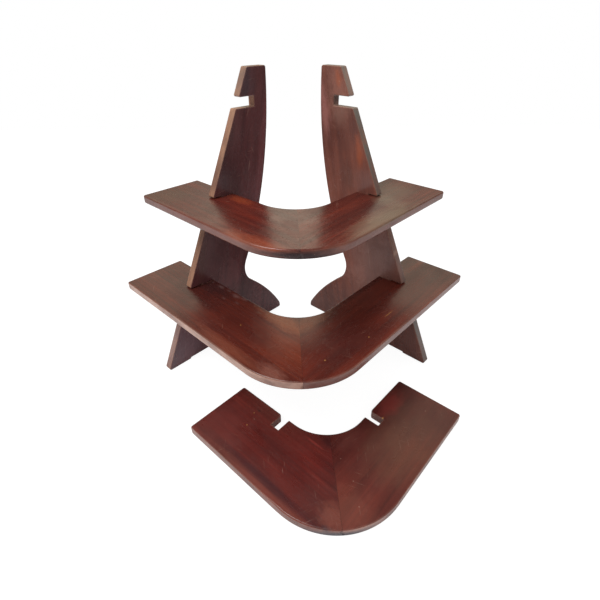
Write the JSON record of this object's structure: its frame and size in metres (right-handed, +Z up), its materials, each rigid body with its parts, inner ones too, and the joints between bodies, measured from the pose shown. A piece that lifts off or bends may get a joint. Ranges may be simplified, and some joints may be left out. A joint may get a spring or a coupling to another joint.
{
  "type": "display riser",
  "caption": "Knock-down wooden corner display riser with notched uprights and mitred L-shaped shelves in tiers; the smallest shelf lies in front, taken off.",
  "frame": {"origin": "middle of the bounding box's footprint, on the surface that the riser stands on", "axes": "+X to the right, +Y to the back, away from the shelves' rounded corners, and +Z up"},
  "size_m": [0.5066, 0.4286, 0.396],
  "materials": {
    "upright_wood": "satin red-brown mahogany stain",
    "shelf_wood": "satin red-brown mahogany stain",
    "dowel_wood": "bare beech"
  },
  "bodies": {
    "mounted_shelves": {"lower_shelf_left_board": "shelf_wood", "lower_shelf_right_board": "shelf_wood", "lower_shelf_dowels": "dowel_wood", "middle_shelf_left_board": "shelf_wood", "middle_shelf_right_board": "shelf_wood", "middle_shelf_dowels": "dowel_wood"},
    "left_upright": {"left_upright": "upright_wood"},
    "right_upright": {"right_upright": "upright_wood"},
    "top_shelf": {"top_shelf_left_board": "shelf_wood", "top_shelf_right_board": "shelf_wood", "top_shelf_dowels": "dowel_wood"}
  },
  "joints": [
    {"name": "left_upright_draw", "type": "slide", "parent": "mounted_shelves", "child": "left_upright", "axis": [0.7071, 0.7071, 0], "range_m": [0, 0.038]},
    {"name": "right_upright_draw", "type": "slide", "parent": "mounted_shelves", "child": "right_upright", "axis": [-0.7071, 0.7071, 0], "range_m": [0, 0.038]},
    {"name": "top_shelf_lift", "type": "slide", "parent": "mounted_shelves", "child": "top_shelf", "axis": [0, 0, 1], "range_m": [0, 0.08]}
  ]
}
